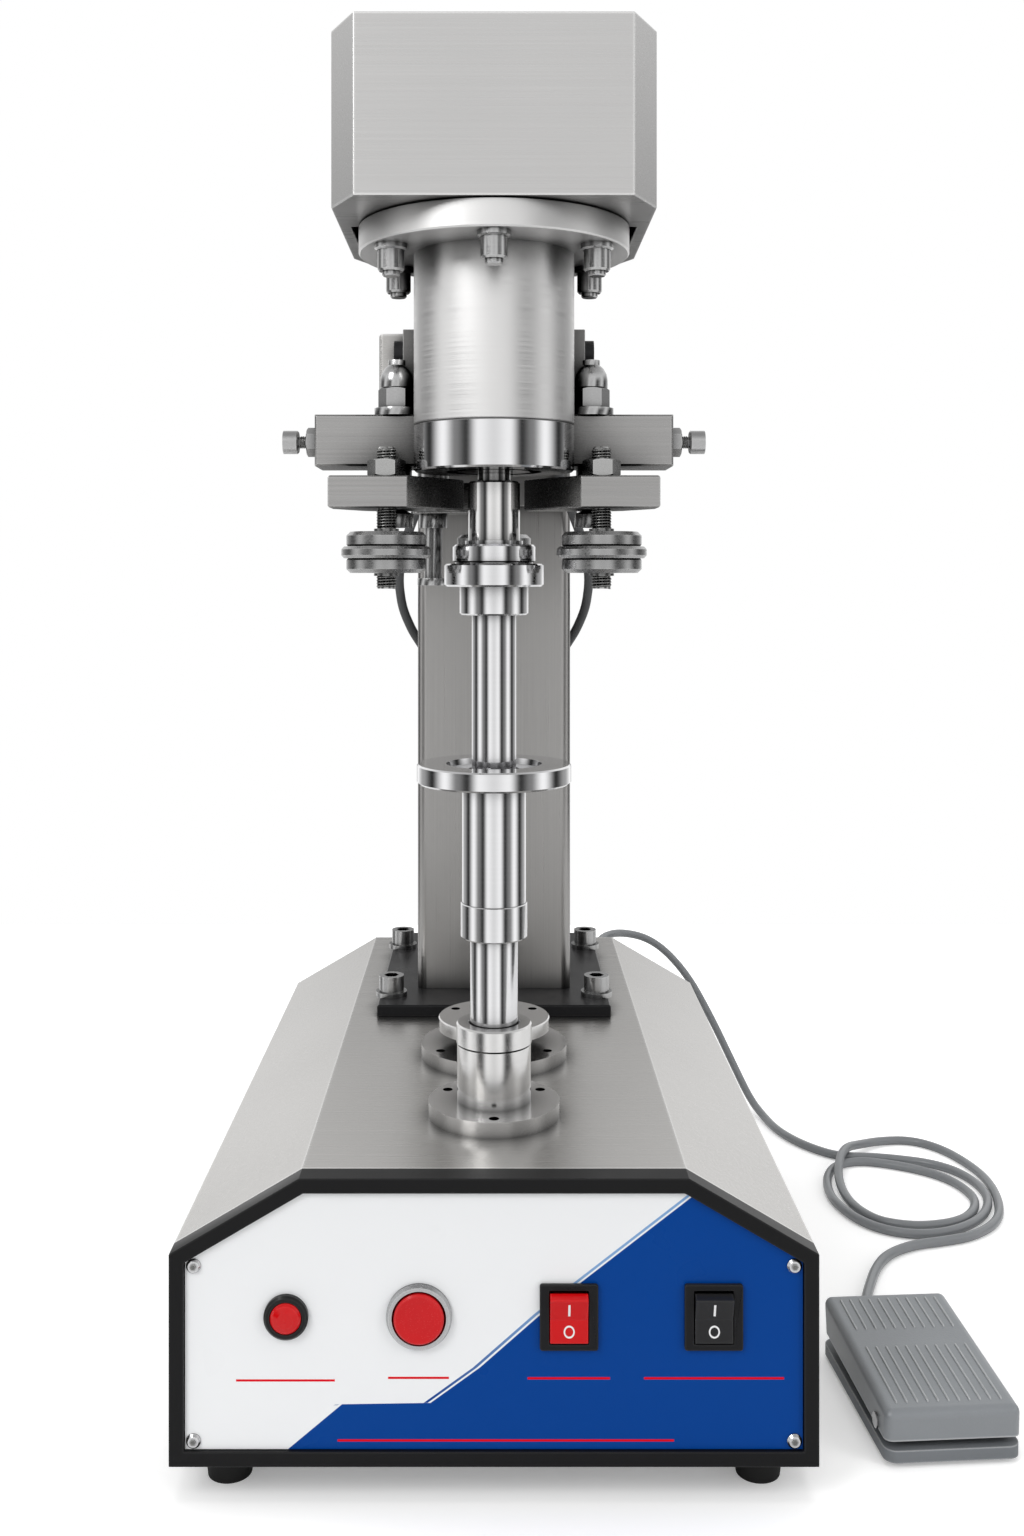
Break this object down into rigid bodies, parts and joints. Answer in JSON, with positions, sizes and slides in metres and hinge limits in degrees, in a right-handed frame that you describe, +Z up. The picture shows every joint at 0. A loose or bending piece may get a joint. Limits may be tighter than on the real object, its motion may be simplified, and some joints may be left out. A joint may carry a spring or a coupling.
{
  "type": "can seamer",
  "caption": "Bench can seamer with a sheet base, rack lift with turning can plate, seaming chuck and rollers under a covered motor head, front controls and a corded foot pedal.",
  "frame": {"origin": "on the bench plane, at the centre of the four rubber feet", "axes": "+Z up, front with the controls towards -Y, +X to the right of someone who faces the controls"},
  "size_m": [0.499, 0.5378, 0.692],
  "materials": {
    "brushed_sheet": "brushed along the sheet, satin",
    "brushed_cover": "brushed, satin",
    "brushed_column": "fine brushed",
    "zinc_sheet": "dull zinc",
    "frame_black": "satin powder coat",
    "panel_print": "semi-gloss print, white and blue",
    "bright_steel": "bright",
    "foot_rubber": "matte",
    "bezel_black": "semi-gloss",
    "lens_red": "translucent gloss",
    "bezel_satin": "satin turned",
    "button_red": "fine speckled gloss",
    "switch_black": "gloss",
    "rocker_red": "gloss, translucent",
    "rocker_black": "gloss",
    "inlet_black": "matte",
    "turned_steel": "turned rings, satin",
    "polished_steel": "polished",
    "gear_steel": "machined",
    "motor_paint": "satin",
    "plate_black": "black oxide",
    "bolt_steel": "zinc bright",
    "arm_steel": "milled",
    "screw_black": "black oxide",
    "bar_steel": "milled and brushed",
    "stud_steel": "threaded",
    "roller_steel": "ground",
    "pedal_grey": "fine orange-peel paint",
    "pedal_dark": "fine orange-peel paint",
    "cord_grey": "satin jacket",
    "cable_dark": "satin jacket"
  },
  "bodies": {
    "machine": {"base_shell": "brushed_sheet", "rear_panel": "brushed_sheet", "bottom_plate": "zinc_sheet", "front_frame": "frame_black", "front_panel": "panel_print", "panel_screws": "bright_steel", "feet": "foot_rubber", "lamp_bezel": "bezel_black", "lamp_lens": "lens_red", "start_bezel": "bezel_satin", "switch_frames": "switch_black", "power_inlet": "inlet_black", "cord_gland": "cord_grey", "lift_bushing": "turned_steel", "guide_flange": "turned_steel", "lift_motor": "motor_paint", "column_plate": "plate_black", "column": "brushed_column", "column_bolts": "bolt_steel", "spindle_housing": "turned_steel", "housing_ring": "polished_steel", "spindle_bearings": "bright_steel", "motor_flange": "turned_steel", "head_motor": "motor_paint", "flange_bolts": "bolt_steel", "motor_cover": "brushed_cover", "head_arm": "arm_steel", "arm_screws": "screw_black", "crossbar": "bar_steel", "pivot_studs": "bolt_steel", "adjusters": "bolt_steel", "switch_box": "brushed_sheet", "pedal_base": "pedal_dark", "pedal_pin": "bright_steel", "pedal_switch": "switch_black", "pedal_cord": "cord_grey", "cord_coil": "cord_grey", "cord_tail": "cord_grey", "head_cables": "cable_dark"},
    "spindle": {"spindle": "turned_steel", "seaming_chuck": "polished_steel", "centring_rod": "polished_steel"},
    "lift": {"lift_shaft": "polished_steel", "lift_collar": "polished_steel", "lift_sleeve": "polished_steel"},
    "can_table": {"can_plate": "polished_steel"},
    "pinion": {"lift_pinion": "gear_steel"},
    "left_arm": {"left_arm": "bar_steel", "left_stud": "stud_steel"},
    "right_arm": {"right_arm": "bar_steel", "right_stud": "stud_steel"},
    "rear_arm": {"rear_arm": "bar_steel", "rear_stud": "stud_steel"},
    "left_roller": {"left_roller": "roller_steel"},
    "right_roller": {"right_roller": "roller_steel"},
    "rear_roller": {"rear_roller": "roller_steel"},
    "start_button": {"start_button": "button_red"},
    "power_rocker": {"power_rocker": "rocker_red"},
    "mode_rocker": {"mode_rocker": "rocker_black"},
    "tread": {"pedal_tread": "pedal_grey"}
  },
  "joints": [
    {"name": "spindle_turn", "type": "hinge", "parent": "machine", "child": "spindle", "pos_m": [0, -0.146, 0.5], "axis": [0, 0, 1], "continuous": true},
    {"name": "lift_rise", "type": "slide", "parent": "machine", "child": "lift", "axis": [0, 0, 1], "range_m": [0, 0.045]},
    {"name": "can_table_turn", "type": "hinge", "parent": "lift", "child": "can_table", "pos_m": [0, -0.146, 0.326], "axis": [0, 0, 1], "continuous": true},
    {"name": "pinion_turn", "type": "hinge", "parent": "machine", "child": "pinion", "pos_m": [0, -0.1229, 0.11784], "axis": [-1, 0, 0], "range_deg": [0, 215]},
    {"name": "left_arm_swing", "type": "hinge", "parent": "machine", "child": "left_arm", "pos_m": [-0.0515, -0.124, 0.47], "axis": [0, 0, 1], "range_deg": [0, 8]},
    {"name": "right_arm_swing", "type": "hinge", "parent": "machine", "child": "right_arm", "pos_m": [0.0515, -0.124, 0.47], "axis": [0, 0, -1], "range_deg": [0, 8]},
    {"name": "rear_arm_swing", "type": "hinge", "parent": "machine", "child": "rear_arm", "pos_m": [-0.034, -0.076, 0.47], "axis": [0, 0, -1], "range_deg": [0, 7]},
    {"name": "left_roller_turn", "type": "hinge", "parent": "left_arm", "child": "left_roller", "pos_m": [-0.055, -0.152, 0.44], "axis": [0, 0, 1], "continuous": true},
    {"name": "right_roller_turn", "type": "hinge", "parent": "right_arm", "child": "right_roller", "pos_m": [0.055, -0.152, 0.44], "axis": [0, 0, 1], "continuous": true},
    {"name": "rear_roller_turn", "type": "hinge", "parent": "rear_arm", "child": "rear_roller", "pos_m": [0, -0.088, 0.44], "axis": [0, 0, 1], "continuous": true},
    {"name": "start_press", "type": "slide", "parent": "machine", "child": "start_button", "axis": [0, 1, 0], "range_m": [0, 0.003], "stiffness_N_per_m": 400, "springref_m": -0.002},
    {"name": "power_rock", "type": "hinge", "parent": "machine", "child": "power_rocker", "pos_m": [0.0346, -0.226, 0.0858], "axis": [-1, 0, 0], "range_deg": [0, 18]},
    {"name": "mode_rock", "type": "hinge", "parent": "machine", "child": "mode_rocker", "pos_m": [0.1014, -0.226, 0.0858], "axis": [-1, 0, 0], "range_deg": [0, 18]},
    {"name": "pedal_press", "type": "hinge", "parent": "machine", "child": "tread", "pos_m": [0.22022, -0.18491, 0.016], "axis": [-0.9976, -0.0698, 0], "range_deg": [0, 3], "stiffness_Nm_per_rad": 3, "springref_deg": -8.59}
  ],
  "couplings": [
    {"joint": "pinion_turn", "follows": "lift_rise", "rad_per_m": 83.333}
  ]
}
